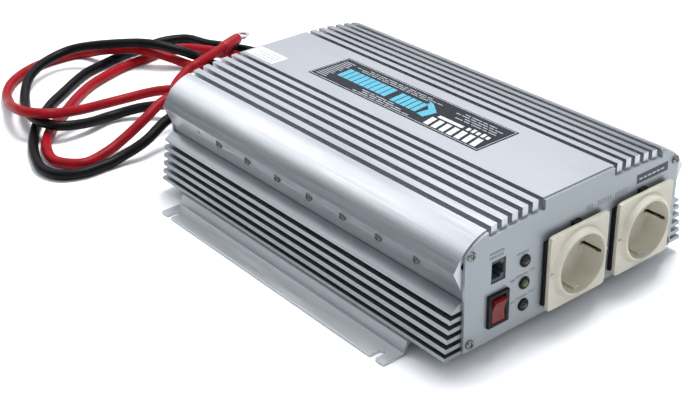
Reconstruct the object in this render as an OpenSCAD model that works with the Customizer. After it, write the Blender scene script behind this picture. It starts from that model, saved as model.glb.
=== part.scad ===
// Power inverter: a ribbed aluminium cover on a finned chassis, with two earthed
// outlets, a rocker switch, a remote jack and indicators at the front (-Y), and
// a fan, four battery cables and an earth stud at the back (+Y). Millimetres, +Z up.

/* [Body] */
// Length over the two end panels
body_len = 310; // [280:1:340]
// Height from the mounting surface to the cover's flat band
body_h = 90; // [88:0.5:92]
// Half width over the lowest cooling fin
fin_reach = 108; // [106:0.5:110]
// Half width of the flat end panels
panel_half = 94.5; // [94:0.1:95]
// Thickness of the end panels
panel_t = 2; // [1.5:0.1:2.5]

/* [Cover] */
// Half width of the flat band along the middle of the cover
band_half = 31; // [30:0.1:32]
// Number of grooves on each side of the band
groove_count = 6; // [3:1:6]
// Distance from one groove to the next
groove_pitch = 8.4; // [8:0.1:8.4]
// Width of each groove
groove_w = 3.8; // [3:0.1:4.4]
// Height of the lip's outer edge
lip_z = 66; // [64:0.5:68]
// Screws along each side of the cover
side_screw_count = 7; // [3:1:7]
// Distance between those screws
side_screw_pitch = 34; // [30:1:36]

/* [Feet] */
// Half width over the mounting feet
foot_reach = 128; // [126:1:134]
// Length of each foot
foot_len = 246; // [200:2:280]
// Width of the open screw slots
slot_w = 5; // [4.4:0.1:6]
// Distance of the slots' centres from the middle of a foot
slot_y = 113; // [90:1:113]

/* [Outlets] */
// Middle of the left outlet, across the panel
outlet_x = -3.3; // [-6:0.1:-2]
// Distance from the left outlet to the right one
outlet_pitch = 61.5; // [58:0.5:62]
// Height of the outlets' middle
outlet_z = 38.8; // [37.5:0.1:40]
// Side of the square plate
outlet_plate = 52; // [50:0.5:54]
// Radius of the round well
well_r = 19.5; // [19:0.1:19.8]
// Depth of the well
well_depth = 17.5; // [17:0.1:18]

/* [Fan] */
// Side of the square fan frame
fan_side = 60; // [60:1:61]
// Number of fan blades
blade_count = 7; // [5:1:9]

/* [Cables] */
// Outer radius of a battery cable
cable_r = 4.2; // [3.9:0.1:4.2]

/* [Hidden] */
$fn = 48;

ivory = [0.85, 0.83, 0.76];
silver = [0.72, 0.75, 0.79];
cable_red = [0.70, 0.08, 0.10];

// The extrusions lie between the two end panels.
front_y = -body_len / 2;
rear_y = body_len / 2;
shell_len = body_len - 2 * panel_t;
shell_y = -shell_len / 2;

// Cover: the ribs follow a shallow crown, and a round shoulder runs from it to the lip.
crown_r = 264;
groove_floor_drop = 7;
groove_floor_r = 484;
rib_zone = (groove_count - 1) * groove_pitch + groove_w;
crown_end_x = band_half + 45.8;
shoulder_r = 32;
shoulder_from = 10;
shoulder_to = 62;
shoulder_x = crown_end_x - shoulder_r * sin(shoulder_from);
shoulder_z = crown_z(crown_end_x) - shoulder_r * cos(shoulder_from);
lip_x = 101.7;
joint_z = 46;
roof_z = body_h - 11;
cover_wall_x = 90.5;

// Chassis: a floor plate, two thick walls, and fins whose tips lean outwards.
floor_z = 9;
floor_t = 3;
fin_count = 4;
fin_pitch = 6.2;
fin_t = 2.9;
fin_root_x = 93;
wall_in_x = 86;
ledge_tip_x = 102.6;
ledge_tip_z = 40.7;
ledge_t = 1.2;
gap_t = fin_pitch - fin_t;

// Screws
panel_screw_top = [90.3, 74.8];
panel_screw_low = [89.8, 15];
side_screw_z = 59.8;
side_screw_seat = 98.3;
side_screw_first_y = 85;
screw_r = 1.5;
screw_hole_r = 1.6;

// Front panel fittings, as x and z of their middles
jack_at = [-67.7, 56.5];
switch_at = [-68, 31];
indicator_x = -45.8;
indicator_top_z = 54.3;
indicator_step = 15.3;
outlet_body_r = 21.4;
well_front_y = front_y - 9;
well_floor_y = well_front_y + well_depth;
plate_front_y = front_y - 5.2;
plate_back_y = front_y - 2.5;
pin_spacing = 19;
pin_hole_r = 2.5;

// Rocker switch: the rocker rests tilted, with its upper half standing out.
rocker_tilt = 9;
rocker_w = 10.3;
rocker_pivot_y = front_y + 3;

// Back panel fittings
fan_at = [52, 46];
fan_bore_r = 27.5;
fan_depth = 25;
fan_screw_pitch = 50;
gland_z = 34;
gland_len = 22;
earth_at = [-76, 30];

// Battery cables: routes of their centrelines from the strain reliefs, over the
// surface that the inverter stands on, to the terminals.
route_red_a = [
    [6, 177, 34], [6, 196, 33.3], [4, 217, 29.7], [1, 239, 24],
    [-7, 262, 17.4], [-17, 281, 14.2], [-32, 295, 11.4], [-52, 303, 9],
    [-75, 303, 10.2], [-102, 295, 15.6], [-127, 290, 22.2], [-142, 307, 22.6],
    [-139, 339, 15.6], [-131, 364, 9], [-122, 389, 4.8], [-109, 409, 4.2],
    [-93, 423, 4.2], [-73, 433, 4.2], [-50, 437, 4.2], [-25, 433, 4.2],
    [-14, 406, 12.4], [1, 391, 13.8], [13, 373, 13.8], [27, 357, 7.8],
    [36, 336, 4.4], [46, 313, 4.2], [52, 290, 4.2], [47, 268, 4.2],
    [28, 254, 4.2], [6, 257, 4.2], [-8, 275, 4.2], [-8, 298, 5.4],
    [16, 315, 10.4], [29, 316, 14.4], [49, 323, 15.2], [67, 331, 15.2]
];
route_red_b = [
    [-10, 177, 34], [-10, 196, 34], [-14, 217, 33.6], [-27, 235, 31.9],
    [-52, 239, 27.9], [-73, 234, 20.4], [-93, 232, 11.4], [-113, 229, 5.4],
    [-136, 226, 4.2], [-150, 245, 4.2], [-144, 271, 4.2], [-132, 291, 4.2],
    [-117, 308, 4.2], [-98, 325, 4.2], [-77, 344, 4.2], [-55, 360, 4.2],
    [-31, 371, 4.2], [-10, 378, 4.2], [12, 381, 4.2], [35, 385, 4.2],
    [54, 380, 4.2], [67, 363, 4.2], [76, 343, 4.2], [83, 321, 4.2],
    [90, 299, 4.2], [98, 277, 5.4], [107, 256, 5.4]
];
route_black_a = [
    [-26, 177, 34], [-26, 196, 31.9], [-28, 217, 26.5], [-30, 240, 18.8],
    [-38, 262, 12.6], [-55, 279, 8.6], [-77, 287, 5.4], [-102, 281, 9],
    [-126, 283, 13.4], [-134, 305, 13.8], [-130, 331, 11.4], [-120, 356, 7.2],
    [-110, 377, 7.2], [-96, 397, 10.2], [-79, 410, 13.2], [-59, 418, 15],
    [-42, 416, 18], [-28, 403, 21.6], [-11, 388, 23.4], [6, 374, 23.6],
    [17, 359, 22.6], [31, 346, 17.4], [46, 338, 9], [54, 321, 4.2],
    [61, 298, 4.2], [68, 275, 4.2], [79, 254, 5.4], [93, 236, 5.4]
];
route_black_b = [
    [-42, 177, 34], [-43, 193, 32.6], [-49, 211, 28.6], [-66, 214, 22.8],
    [-88, 210, 13.8], [-106, 212, 7.2], [-124, 212, 4.2], [-143, 212, 4.2],
    [-159, 221, 4.2], [-164, 239, 4.2], [-160, 257, 4.2], [-153, 276, 4.2],
    [-143, 295, 4.2], [-131, 314, 4.2], [-117, 330, 4.2], [-100, 347, 4.2],
    [-82, 361, 4.2], [-64, 375, 4.2], [-44, 388, 4.2], [-22, 396, 4.2],
    [2, 403, 4.2], [26, 406, 4.2], [50, 408, 4.2], [70, 398, 4.2],
    [77, 374, 4.2], [88, 353, 4.2], [95, 330, 5.4], [102, 308, 5.4]
];
cable_sides = 8;
sleeve_r = 5.3;
sleeve_len = 26;
terminal_hole_r = 4.2;
terminal_t = 2;

// Inside
board_z = 20;
board_t = 1.6;
board_x = 76;
board_len = 236;
board_y = -12;
standoff_x = 68;
standoff_y = [-120, -12, 96];

// Height of the crown at x, and of the grooves' floors
function crown_z(x) = body_h - pow(max(x - band_half, 0), 2) / (2 * crown_r);
function groove_z(x) = body_h - groove_floor_drop - pow(max(x - band_half, 0), 2) / (2 * groove_floor_r);

// Points along an arc, by angle from straight up
function arc(cx, cz, r, from, to, steps) =
    [for (i = [0 : steps]) let (a = from + (to - from) * i / steps) [cx + r * sin(a), cz + r * cos(a)]];

// A half outline and its mirror image, as one closed outline
function both_sides(half) =
    concat(half, [for (i = [len(half) - 1 : -1 : 0]) [-half[i][0], half[i][1]]]);

// Stands an outline of x and z up and draws it along Y.
module along_y(outline, y0, length) {
    translate([0, y0 + length, 0])
        rotate([90, 0, 0])
            linear_extrude(length) polygon(outline);
}

// A cylinder along Y, from y0 to y1
module rod_y(x, z, r, y0, y1) {
    translate([x, y1, z])
        rotate([90, 0, 0])
            cylinder(r = r, h = y1 - y0);
}

// A cylinder along X, from x0 to x1
module rod_x(y, z, r, x0, x1) {
    translate([x0, y, z])
        rotate([0, 90, 0])
            cylinder(r = r, h = x1 - x0);
}

// A box from one corner to the opposite one
module block(from, to) {
    translate(from) cube(to - from);
}

// A pan-head screw with a cross recess. Its head stands on z = 0 and its shank points down.
module screw(head_r, head_h, shank_r, shank_len) {
    difference() {
        rotate_extrude()
            polygon([
                [0, -shank_len], [shank_r, -shank_len], [shank_r, 0], [head_r, 0],
                [head_r, head_h * 0.45], [head_r * 0.72, head_h * 0.88],
                [head_r * 0.4, head_h], [0, head_h]
            ]);
        for (turn = [0, 90])
            rotate([0, 0, turn])
                translate([-head_r * 0.62, -head_r * 0.11, head_h * 0.35])
                    cube([head_r * 1.24, head_r * 0.22, head_h]);
    }
}

// ---------------------------------------------------------------- housing

cover_outer = concat(
    [[0, body_h], [band_half, body_h]],
    arc(shoulder_x, shoulder_z, shoulder_r, shoulder_from, shoulder_to, 10),
    [
        [lip_x - 0.4, lip_z + 1], [lip_x, lip_z], [lip_x - 0.6, lip_z - 1],
        [96.2, 54.5], [94.6, 51.5], [93.6, 48.5], [93.4, joint_z]
    ]
);
cover_inner = concat(
    [[cover_wall_x, joint_z], [cover_wall_x, 53], [92.4, 60], [94.5, lip_z]],
    arc(shoulder_x, shoulder_z, shoulder_r - 3, shoulder_to - 2, shoulder_from + 18, 8),
    [[crown_end_x + 2, roof_z - 0.6], [crown_end_x - 6, roof_z], [0, roof_z]]
);

// The rib zone's crown, between the band and the shoulder
crown_line = [for (i = [1 : 5]) let (x = band_half + (crown_end_x - band_half) * i / 6) [x, crown_z(x)]];

module top_cover() {
    color(silver)
    difference() {
        union() {
            along_y(both_sides(concat([[0, body_h], [band_half, body_h]], crown_line,
                [for (i = [2 : len(cover_outer) - 1]) cover_outer[i]], cover_inner)),
                shell_y, shell_len);
            for (side = [-1, 1])
                rod_y(side * panel_screw_top[0], panel_screw_top[1], 4, shell_y, -shell_y);
        }
        for (side = [-1, 1]) {
            for (k = [0 : groove_count - 1]) {
                x = band_half + k * groove_pitch;
                mid = side * (x + groove_w / 2);
                block([mid - groove_w / 2, shell_y - 1, groove_z(x + groove_w / 2)],
                    [mid + groove_w / 2, -shell_y + 1, body_h + 1]);
            }
            rod_y(side * panel_screw_top[0], panel_screw_top[1], screw_hole_r, shell_y - 1, -shell_y + 1);
            for (i = [0 : side_screw_count - 1]) {
                y = side_screw_first_y - i * side_screw_pitch;
                rod_x(y, side_screw_z, screw_hole_r, side > 0 ? 80 : -110, side > 0 ? 110 : -80);
                rod_x(y, side_screw_z, 3.1, side > 0 ? side_screw_seat : -110, side > 0 ? 110 : -side_screw_seat);
            }
            // A blank pilot hole ends each row of screws.
            rod_x(side_screw_first_y + 26, side_screw_z, 1.3, side > 0 ? 95.5 : -110, side > 0 ? 110 : -95.5);
        }
    }
}

function fin_tip_x(z) =
    ledge_tip_x + (fin_reach - ledge_tip_x) * (ledge_tip_z - z) / (ledge_tip_z - floor_z);

// Right half of the chassis section, from the floor's top round to its underside
chassis_half = concat(
    [
        [0, floor_z + floor_t], [wall_in_x, floor_z + floor_t],
        [wall_in_x, 50], [90.2, 50], [90.2, joint_z], [fin_root_x, joint_z],
        [fin_root_x, ledge_tip_z + 4.2], [97, ledge_tip_z + 3.8], [ledge_tip_x, ledge_tip_z],
        [ledge_tip_x, ledge_tip_z - ledge_t]
    ],
    [
        for (k = [0 : fin_count - 1])
            let (
                top = ledge_tip_z - ledge_t - gap_t - k * fin_pitch,
                low = top - fin_t
            )
            each [
                [fin_root_x, top + gap_t], [fin_root_x, top],
                [fin_tip_x(top), top], [fin_tip_x(low), low]
            ]
    ],
    [
        [fin_root_x, ledge_tip_z - ledge_t - fin_count * fin_pitch],
        [fin_root_x, floor_z + floor_t - 0.2],
        [fin_tip_x(floor_z + floor_t), floor_z + floor_t - 0.2],
        [fin_reach, floor_z + 0.6], [fin_reach - 0.6, floor_z], [0, floor_z]
    ]
);

module chassis() {
    color(silver)
    difference() {
        along_y(both_sides(chassis_half), shell_y, shell_len);
        for (side = [-1, 1])
            rod_y(side * panel_screw_low[0], panel_screw_low[1], screw_hole_r, shell_y - 1, -shell_y + 1);
        // Air inlets in the floor, behind the front panel
        for (k = [0 : 5])
            block([-60 + 22 * k, -146, floor_z - 1], [-44 + 22 * k, -142.8, floor_z + floor_t + 1]);
        for (x = [-1, 1] * 95, y = [-90, 0, 90])
            translate([x, y, floor_z - 1]) cylinder(r = screw_hole_r, h = 2.8);
        for (x = [-1, 1] * standoff_x, y = standoff_y)
            translate([x, y, floor_z - 1]) cylinder(r = screw_hole_r, h = floor_t + 2);
    }
}

// Outline shared by both end panels: full height at the band, down to the
// grooves' floors beside it, and round at the shoulders
panel_outline = both_sides(concat(
    [[0, body_h - 1], [band_half - 0.4, body_h - 1], [band_half - 0.4, groove_z(band_half) - 0.3]],
    [for (i = [1 : 4]) let (x = band_half + (crown_end_x - band_half) * i / 4) [x, groove_z(x) - 0.3]],
    arc(shoulder_x, shoulder_z, shoulder_r - 1.2, shoulder_from, 48, 8),
    [[panel_half, 73], [panel_half, 11], [panel_half - 1, 10], [0, 10]]
));

module panel_plate(y0) {
    difference() {
        along_y(panel_outline, y0, panel_t);
        for (side = [-1, 1], at = [panel_screw_top, panel_screw_low])
            rod_y(side * at[0], at[1], 1.8, y0 - 1, y0 + panel_t + 1);
    }
}

module front_panel() {
    color(silver * 0.9)
    difference() {
        panel_plate(front_y);
        for (k = [0, 1])
            rod_y(outlet_x + k * outlet_pitch, outlet_z, 23, front_y - 1, front_y + panel_t + 1);
        block([jack_at[0] - 5.9, front_y - 1, jack_at[1] - 7.6],
            [jack_at[0] + 5.9, front_y + panel_t + 1, jack_at[1] + 7.6]);
        block([switch_at[0] - 6.8, front_y - 1, switch_at[1] - 9.8],
            [switch_at[0] + 6.8, front_y + panel_t + 1, switch_at[1] + 9.8]);
        for (k = [0 : 2])
            rod_y(indicator_x, indicator_top_z - k * indicator_step, 3.5, front_y - 1, front_y + panel_t + 1);
    }
}

module rear_panel() {
    color(silver * 0.9)
    difference() {
        panel_plate(rear_y - panel_t);
        rod_y(fan_at[0], fan_at[1], fan_bore_r, rear_y - panel_t - 1, rear_y + 1);
        for (x = [-1, 1] * fan_screw_pitch / 2, z = [-1, 1] * fan_screw_pitch / 2)
            rod_y(fan_at[0] + x, fan_at[1] + z, 1.8, rear_y - panel_t - 1, rear_y + 1);
        for (k = [0 : 3])
            rod_y(6 - 16 * k, gland_z, 5, rear_y - panel_t - 1, rear_y + 1);
        rod_y(earth_at[0], earth_at[1], 3.1, rear_y - panel_t - 1, rear_y + 1);
        // Air outlets above the cables
        for (k = [0 : 7])
            block([-74 + 10 * k, rear_y - panel_t - 1, 56], [-70.8 + 10 * k, rear_y + 1, 72]);
    }
}

// A joggled strip: a flange on the mounting surface, a sloped riser, and a
// flange under the chassis. One open slot near each end takes a screw.
module foot(side) {
    flange_x = 112.4;
    slot_x = side * (foot_reach - 6.5);
    open_x = side * (foot_reach + 1);
    color(silver * 0.95)
    difference() {
        along_y([
            for (p = [
                [86, floor_z], [109.6, floor_z], [flange_x, 2], [foot_reach, 2],
                [foot_reach, 0], [flange_x - 1.7, 0], [108, floor_z - 2], [86, floor_z - 2]
            ]) [side * p[0], p[1]]
        ], -foot_len / 2, foot_len);
        for (y = [-slot_y, slot_y]) {
            block([min(slot_x, open_x), y - slot_w / 2, -1], [max(slot_x, open_x), y + slot_w / 2, 3]);
            translate([slot_x, y, -1]) cylinder(r = slot_w / 2, h = 4);
        }
        for (y = [-90, 0, 90])
            translate([side * 95, y, floor_z - 3]) cylinder(r = screw_hole_r, h = 4);
    }
}

module foot_screws() {
    color("silver")
    for (x = [-1, 1] * 95, y = [-90, 0, 90])
        translate([x, y, floor_z - 2])
            mirror([0, 0, 1]) screw(3, 1.8, screw_r, 3.4);
}

module side_screws() {
    color("silver")
    for (side = [-1, 1], i = [0 : side_screw_count - 1])
        translate([side * side_screw_seat, side_screw_first_y - i * side_screw_pitch, side_screw_z])
            rotate([0, side * 90, 0]) screw(2.8, 2.1, screw_r, 17);
}

module panel_screws() {
    color("silver")
    for (side = [-1, 1], at = [panel_screw_top, panel_screw_low]) {
        translate([side * at[0], front_y, at[1]])
            rotate([90, 0, 0]) screw(3, 2, screw_r, 12);
        translate([side * at[0], rear_y, at[1]])
            rotate([-90, 0, 0]) screw(3, 2, screw_r, 12);
    }
}

// ---------------------------------------------------------------- outlets

// Frame between the panel and the outlet's plate, with a snap ring in the panel
module outlet_frame(cx) {
    color([0.07, 0.07, 0.07])
    difference() {
        union() {
            block([cx - 27.3, plate_back_y, outlet_z - 22], [cx + 27.3, front_y, outlet_z + 22]);
            block([cx - 3.6, plate_back_y, outlet_z - 27.2], [cx + 3.6, front_y, outlet_z + 27.2]);
            rod_y(cx, outlet_z, 22.8, front_y - 0.5, front_y + 4);
        }
        rod_y(cx, outlet_z, 21.6, plate_back_y - 1, front_y + 5);
    }
}

module outlet(cx) {
    half = outlet_plate / 2;
    color(ivory)
    difference() {
        union() {
            block([cx - half, plate_front_y, outlet_z - half], [cx + half, plate_back_y, outlet_z + half]);
            // Bevelled step from the plate up to the collar, and the body behind
            translate([cx, front_y + 24, outlet_z])
                rotate([90, 0, 0])
                    rotate_extrude()
                        polygon([
                            [0, 0], [outlet_body_r, 0], [outlet_body_r, 26.5], [25.2, 26.5],
                            [25.2, 30], [23.2, 32.4], [22.4, 33], [0, 33]
                        ]);
        }
        rod_y(cx, outlet_z, well_r, well_front_y - 1, well_floor_y);
        for (s = [-1, 1]) {
            rod_y(cx, outlet_z + s * pin_spacing / 2, pin_hole_r, well_floor_y - 1, well_floor_y + 4);
            // Pocket behind each pin hole, for its contact
            rod_y(cx, outlet_z + s * pin_spacing / 2, 3.6, well_floor_y + 3.99, front_y + 25);
            // Side slot for each earth clip, through to the back
            translate([cx + s * 19, 0, outlet_z]) {
                block([-2.05, well_front_y + 3, -1.25], [2.05, front_y + 25, 1.25]);
            }
        }
    }
    // Guide ribs above and below the pins
    color(ivory)
    for (s = [-1, 1])
        intersection() {
            block([cx - 2.6, well_front_y + 4, outlet_z + s * 19.2 - 1.6],
                [cx + 2.6, well_floor_y + 0.5, outlet_z + s * 19.2 + 1.6]);
            rod_y(cx, outlet_z, 20.5, well_front_y, well_floor_y + 1);
        }
}

// Two spring strips that stand in the side slots and bow into the well near its mouth
module earth_clips(cx) {
    color("goldenrod")
    for (s = [-1, 1]) {
        line = [
            [20.9, well_front_y + 3.4], [20.4, well_front_y + 3.4], [18.5, well_front_y + 5.4],
            [20.3, well_front_y + 8.4], [20.3, front_y + 24], [20.8, front_y + 24],
            [20.8, well_front_y + 8.2], [19.1, well_front_y + 5.4], [20.9, well_front_y + 3.9]
        ];
        translate([cx, 0, outlet_z - 1])
            linear_extrude(2)
                polygon([for (p = line) [s * p[0], p[1]]]);
    }
}

// Forked brass leaves that grip the plug's pins, one fork behind each pin hole
module contacts(cx) {
    color("goldenrod")
    for (s = [-1, 1])
        translate([cx, 0, outlet_z + s * pin_spacing / 2]) {
            for (leaf = [-1, 1])
                block([leaf * 2.85 - 0.25, well_floor_y + 4.3, -1.6], [leaf * 2.85 + 0.25, front_y + 25.1, 1.6]);
            block([-3.1, front_y + 25, -1.6], [3.1, front_y + 25.6, 1.6]);
            block([-1.6, front_y + 25.5, -0.4], [1.6, front_y + 31, 0.4]);
        }
}

// ---------------------------------------------------------------- controls

module switch_bezel() {
    x = switch_at[0];
    z = switch_at[1];
    color([0.08, 0.08, 0.09])
    difference() {
        union() {
            block([x - 8.4, front_y - 2, z - 11], [x + 8.4, front_y, z + 11]);
            block([x - 6.6, front_y - 0.1, z - 9.6], [x + 6.6, front_y + 14, z + 9.6]);
        }
        block([x - 5.5, front_y - 3, z - 8.8], [x + 5.5, front_y + 12.5, z + 8.8]);
        rod_x(rocker_pivot_y, z, 1.05, x - 6.2, x + 6.2);
    }
}

// The rocker turns on two stub pins in the bezel's side walls.
module switch_rocker() {
    x = switch_at[0];
    z = switch_at[1];
    color([0.65, 0.07, 0.08])
    translate([x, rocker_pivot_y, z])
        rotate([rocker_tilt, 0, 0])
            rotate([0, 90, 0])
                union() {
                    translate([0, 0, -rocker_w / 2])
                        linear_extrude(rocker_w)
                            polygon([
                                [-7.6, -6.3], [-4, -5.2], [0, -4.7], [4, -5.2], [7.6, -6.3],
                                [7.6, -2.6], [3.2, 3.4], [-3.2, 3.4], [-7.6, -2.6]
                            ]);
                    translate([0, 0, -6]) cylinder(r = 1, h = 12);
                }
}

module switch_terminals() {
    color("goldenrod")
    for (k = [-1, 0, 1])
        block([switch_at[0] - 2.4, front_y + 14, switch_at[1] + 6 * k - 0.4],
            [switch_at[0] + 2.4, front_y + 22, switch_at[1] + 6 * k + 0.4]);
}

// Modular socket on its side: a keyhole opening with the latch notch to the right
module remote_jack() {
    x = jack_at[0];
    z = jack_at[1];
    color([0.10, 0.10, 0.12])
    difference() {
        block([x - 5.7, front_y + 0.8, z - 7.4], [x + 5.7, front_y + 17, z + 7.4]);
        block([x - 4.5, front_y, z - 5.1], [x + 2.5, front_y + 14, z + 5.1]);
        block([x + 2.4, front_y, z - 3.2], [x + 4.9, front_y + 12, z + 3.2]);
    }
}

// Four spring wires on the side opposite the latch notch
module jack_contacts() {
    color("gold")
    for (k = [-1.5, -0.5, 0.5, 1.5])
        block([jack_at[0] - 4.5, front_y + 3, jack_at[1] + 1.1 * k - 0.25],
            [jack_at[0] - 3.9, front_y + 14, jack_at[1] + 1.1 * k + 0.25]);
}

module indicator_holders() {
    color([0.09, 0.09, 0.10])
    for (k = [0 : 2])
        translate([indicator_x, front_y + 6, indicator_top_z - k * indicator_step])
            rotate([90, 0, 0])
                rotate_extrude()
                    polygon([
                        [2.75, 0], [3.4, 0], [3.4, 6], [4.2, 6], [4.1, 6.8], [3.6, 7.3],
                        [2.75, 7.3]
                    ]);
}

// A round-nosed lens in its holder; k counts down from the top.
module indicator(k, tint) {
    color(tint)
    translate([indicator_x, front_y + 4, indicator_top_z - k * indicator_step])
        rotate([90, 0, 0])
            rotate_extrude()
                polygon(concat(
                    [[0, 0], [2.7, 0]],
                    [for (a = [90 : -15 : 0]) [2.7 * sin(a), 4.4 + 2.1 * cos(a)]]
                ));
}

// ---------------------------------------------------------------- labels

module top_label() {
    color([0.09, 0.11, 0.13])
    block([-17, -84, body_h], [21, 88, body_h + 0.25]);
}

module rating_sticker() {
    color("white")
    block([-28.2, 117, body_h], [-12.6, 151, body_h + 0.2]);
}

module front_label() {
    color([0.25, 0.28, 0.30])
    block([53, front_y - 0.25, 70], [83, front_y, 76]);
}

// ---------------------------------------------------------------- back panel

module fan_frame() {
    cx = fan_at[0];
    cz = fan_at[1];
    y1 = rear_y - panel_t;
    y0 = y1 - fan_depth;
    color([0.10, 0.10, 0.10]) {
        difference() {
            union() {
                for (y = [y0, y1 - 4])
                    block([cx - fan_side / 2, y, cz - fan_side / 2],
                        [cx + fan_side / 2, y + 4, cz + fan_side / 2]);
                rod_y(cx, cz, 29.4, y0, y1);
            }
            rod_y(cx, cz, fan_bore_r, y0 - 1, y1 + 1);
            for (x = [-1, 1] * fan_screw_pitch / 2, z = [-1, 1] * fan_screw_pitch / 2)
                rod_y(cx + x, cz + z, screw_hole_r, y0 - 1, y1 + 1);
        }
        // Motor mount, held by three struts at the inner face
        difference() {
            union() {
                rod_y(cx, cz, 13, y0, y0 + 2.5);
                rod_y(cx, cz, 3.4, y0, y0 + 14);
                for (turn = [90, 210, 330])
                    translate([cx, y0, cz])
                        rotate([0, turn, 0])
                            translate([12, 0, -1.6]) cube([16.5, 2.5, 3.2]);
            }
            rod_y(cx, cz, 1.55, y0 + 2, y0 + 15);
        }
    }
}

// Hub, shaft and pitched flat blades, all one moulding
module fan_rotor() {
    y0 = rear_y - panel_t - fan_depth;
    color([0.14, 0.14, 0.14])
    translate([fan_at[0], y0, fan_at[1]])
        rotate([-90, 0, 0])
            union() {
                rotate_extrude()
                    polygon([
                        [0, 3], [1.5, 3], [1.5, 20], [10.8, 20], [10.8, 4], [12, 4],
                        [12.4, 21], [11.2, 22.3], [0, 22.3]
                    ]);
                for (k = [0 : blade_count - 1])
                    rotate([0, 0, k * 360 / blade_count])
                        intersection() {
                            translate([18.9, 0, 13])
                                rotate([38, 0, 0])
                                    cube([16, 20, 1.4], center = true);
                            rotate_extrude()
                                polygon([[11.6, 5], [26.6, 5], [26.6, 21.5], [11.6, 21.5]]);
                        }
            }
}

// Wire rings on a cross, with an eye at each corner
module fan_guard() {
    cx = fan_at[0];
    cz = fan_at[1];
    wire = 0.8;
    color("silver") {
        for (r = [6, 12.5, 19, 25.5])
            translate([cx, rear_y + 2.3, cz])
                rotate([90, 0, 0])
                    rotate_extrude() translate([r, 0]) circle(r = wire, $fn = 16);
        difference() {
            union() {
                for (turn = [45, 135])
                    translate([cx, rear_y + 0.8, cz])
                        rotate([0, turn, 0])
                            translate([-33.5, -0.8, -0.8]) cube([67, 1.6, 1.6]);
                for (x = [-1, 1] * fan_screw_pitch / 2, z = [-1, 1] * fan_screw_pitch / 2)
                    rod_y(cx + x, cz + z, 3.6, rear_y, rear_y + 1.6);
            }
            for (x = [-1, 1] * fan_screw_pitch / 2, z = [-1, 1] * fan_screw_pitch / 2)
                rod_y(cx + x, cz + z, 1.8, rear_y - 1, rear_y + 3);
        }
    }
}

module fan_screws() {
    color("silver")
    for (x = [-1, 1] * fan_screw_pitch / 2, z = [-1, 1] * fan_screw_pitch / 2)
        translate([fan_at[0] + x, rear_y + 1.6, fan_at[1] + z])
            rotate([-90, 0, 0]) screw(3, 2, screw_r, 10);
}

// A flanged stud: its shank takes the nut, and its thinner end an earth wire's eye.
module earth_stud() {
    color("goldenrod")
    translate([earth_at[0], rear_y, earth_at[1]])
        rotate([-90, 0, 0])
            rotate_extrude()
                polygon([
                    [0, -6], [4.5, -6], [4.5, -panel_t], [3, -panel_t], [3, 4.6],
                    [2.5, 4.6], [2.5, 8.6], [2.1, 9], [0, 9]
                ]);
}

module earth_nut() {
    color("silver")
    translate([earth_at[0], rear_y, earth_at[1]])
        rotate([-90, 0, 0])
            difference() {
                union() {
                    cylinder(r = 5.2, h = 0.9);
                    translate([0, 0, 0.9]) cylinder(r = 4.6, h = 3.4, $fn = 6);
                }
                translate([0, 0, -1]) cylinder(r = 3.02, h = 7);
            }
}

// ---------------------------------------------------------------- cables

// Flanged bush in the panel, with a ribbed tail that tapers on to the cable
module strain_relief(x) {
    tail = [
        for (k = [0 : 4])
            let (z = 5 + k * 3.2, r = 6.8 - k * 0.38)
            each [[r, z], [r, z + 2], [r - 0.7, z + 2.1], [r - 0.7, z + 3.1]]
    ];
    color([0.08, 0.08, 0.08])
    translate([x, rear_y, gland_z])
        rotate([-90, 0, 0])
            rotate_extrude()
                polygon(concat(
                    [[0, -8], [4.9, -8], [4.9, 0], [7.6, 0], [7.6, 2.4], [6.8, 3]],
                    tail,
                    [[4.6, gland_len - 0.6], [4.6, gland_len], [0, gland_len]]
                ));
}

function unit(v) = v / norm(v);

// Direction of a route at point i
function heading(route, i) =
    unit(route[min(i + 1, len(route) - 1)] - route[max(i - 1, 0)]);

// Ring of points round point i of a route
function ring(route, i) =
    let (
        ahead = heading(route, i),
        side = unit(cross(ahead, [0, 0, 1])),
        up = cross(side, ahead)
    )
    [
        for (k = [0 : cable_sides - 1])
            let (a = (k + 0.5) * 360 / cable_sides)
            route[i] + cable_r * (cos(a) * side + sin(a) * up)
    ];

module cable(route, tint) {
    n = cable_sides;
    last = len(route) - 1;
    color(tint)
    polyhedron(
        points = [for (i = [0 : last]) each ring(route, i)],
        faces = concat(
            [[for (k = [0 : n - 1]) k]],
            [
                for (i = [0 : last - 1], k = [0 : n - 1])
                    let (a = i * n + k, b = i * n + (k + 1) % n)
                    each [[a, a + n, b], [b, a + n, b + n]]
            ],
            [[for (k = [n - 1 : -1 : 0]) last * n + k]]
        )
    );
}

// Places its children at the route's end, with +X along the cable.
module at_end(route) {
    last = len(route) - 1;
    ahead = route[last] - route[last - 1];
    translate(route[last])
        rotate([0, 0, atan2(ahead[1], ahead[0])])
            children();
}

// Shrunk sleeve over the terminal's barrel
module sleeve(route, tint) {
    color(tint)
    at_end(route)
        rotate([0, 90, 0])
            difference() {
                rotate_extrude()
                    polygon([
                        [0, 0], [4.4, 0], [sleeve_r, 2.5], [sleeve_r, sleeve_len - 3],
                        [sleeve_r - 0.5, sleeve_len], [0, sleeve_len]
                    ]);
                translate([0, 0, 4]) cylinder(r = 4, h = sleeve_len);
            }
}

// Ring terminal: a barrel in the sleeve, a neck and a flat eye
module lug(route) {
    color("silver")
    at_end(route)
        difference() {
            union() {
                translate([4, 0, 0]) rotate([0, 90, 0]) cylinder(r = 4, h = sleeve_len - 4);
                block([sleeve_len - 0.1, -3.8, -terminal_t / 2], [sleeve_len + 8, 3.8, terminal_t / 2]);
                translate([sleeve_len + 8, 0, -terminal_t / 2]) cylinder(r = 7.2, h = terminal_t);
            }
            translate([sleeve_len + 8, 0, -2]) cylinder(r = terminal_hole_r, h = 4);
        }
}

// ---------------------------------------------------------------- inside

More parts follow.
